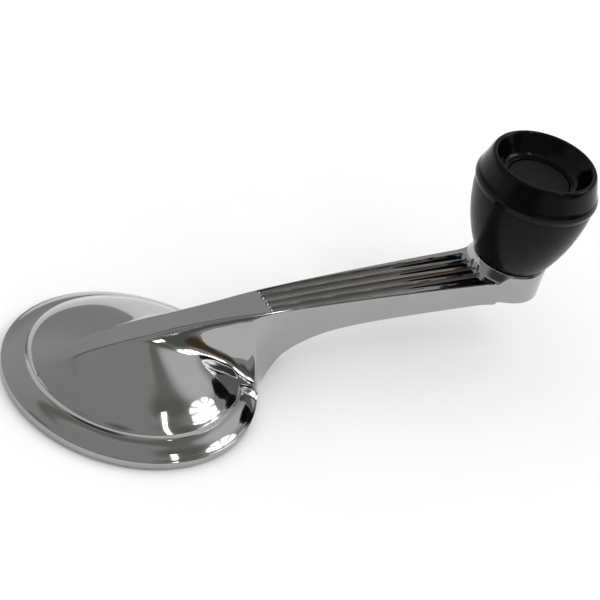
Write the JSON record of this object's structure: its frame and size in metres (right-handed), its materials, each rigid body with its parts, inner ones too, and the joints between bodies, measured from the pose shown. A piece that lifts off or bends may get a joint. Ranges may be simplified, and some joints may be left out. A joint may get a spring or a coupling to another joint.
{
  "type": "crank handle",
  "caption": "Chromed crank handle: round domed flange on a splined hub, fluted arm, and a black knob that spins on a riveted stud.",
  "frame": {"origin": "on the shaft axis, in the plane of the flange's back", "axes": "+Z out along the shaft axis, away from the panel; +X along the arm to the knob; symmetric about y = 0"},
  "size_m": [0.1454, 0.06, 0.0526],
  "materials": {
    "chrome": "bright chrome plate over a zinc die casting",
    "insert_steel": "broached plain steel",
    "spring_steel": "hardened spring steel, oiled",
    "stud_steel": "turned steel, zinc plated",
    "brass": "turned brass",
    "nylon": "natural nylon",
    "knob_plastic": "black moulding, slightly satin",
    "collar_plastic": "black moulding, polished",
    "plug_plastic": "dark matte disc"
  },
  "bodies": {
    "crank": {"handle_casting": "chrome", "spline_insert": "insert_steel", "retaining_clip": "spring_steel", "knob_stud": "stud_steel", "peen_washer": "stud_steel", "head_washer": "stud_steel", "spring_washer": "spring_steel"},
    "knob": {"knob_barrel": "knob_plastic", "knob_collar": "collar_plastic", "knob_plug": "plug_plastic", "knob_sleeve": "brass"},
    "ring": {"wear_ring": "nylon"}
  },
  "joints": [
    {"name": "knob_spin", "type": "hinge", "parent": "crank", "child": "knob", "pos_m": [0.1, 0, 0.0244], "axis": [0, 0, 1], "continuous": true},
    {"name": "ring_turn", "type": "hinge", "parent": "crank", "child": "ring", "pos_m": [0, 0, 0], "axis": [0, 0, 1], "continuous": true}
  ]
}
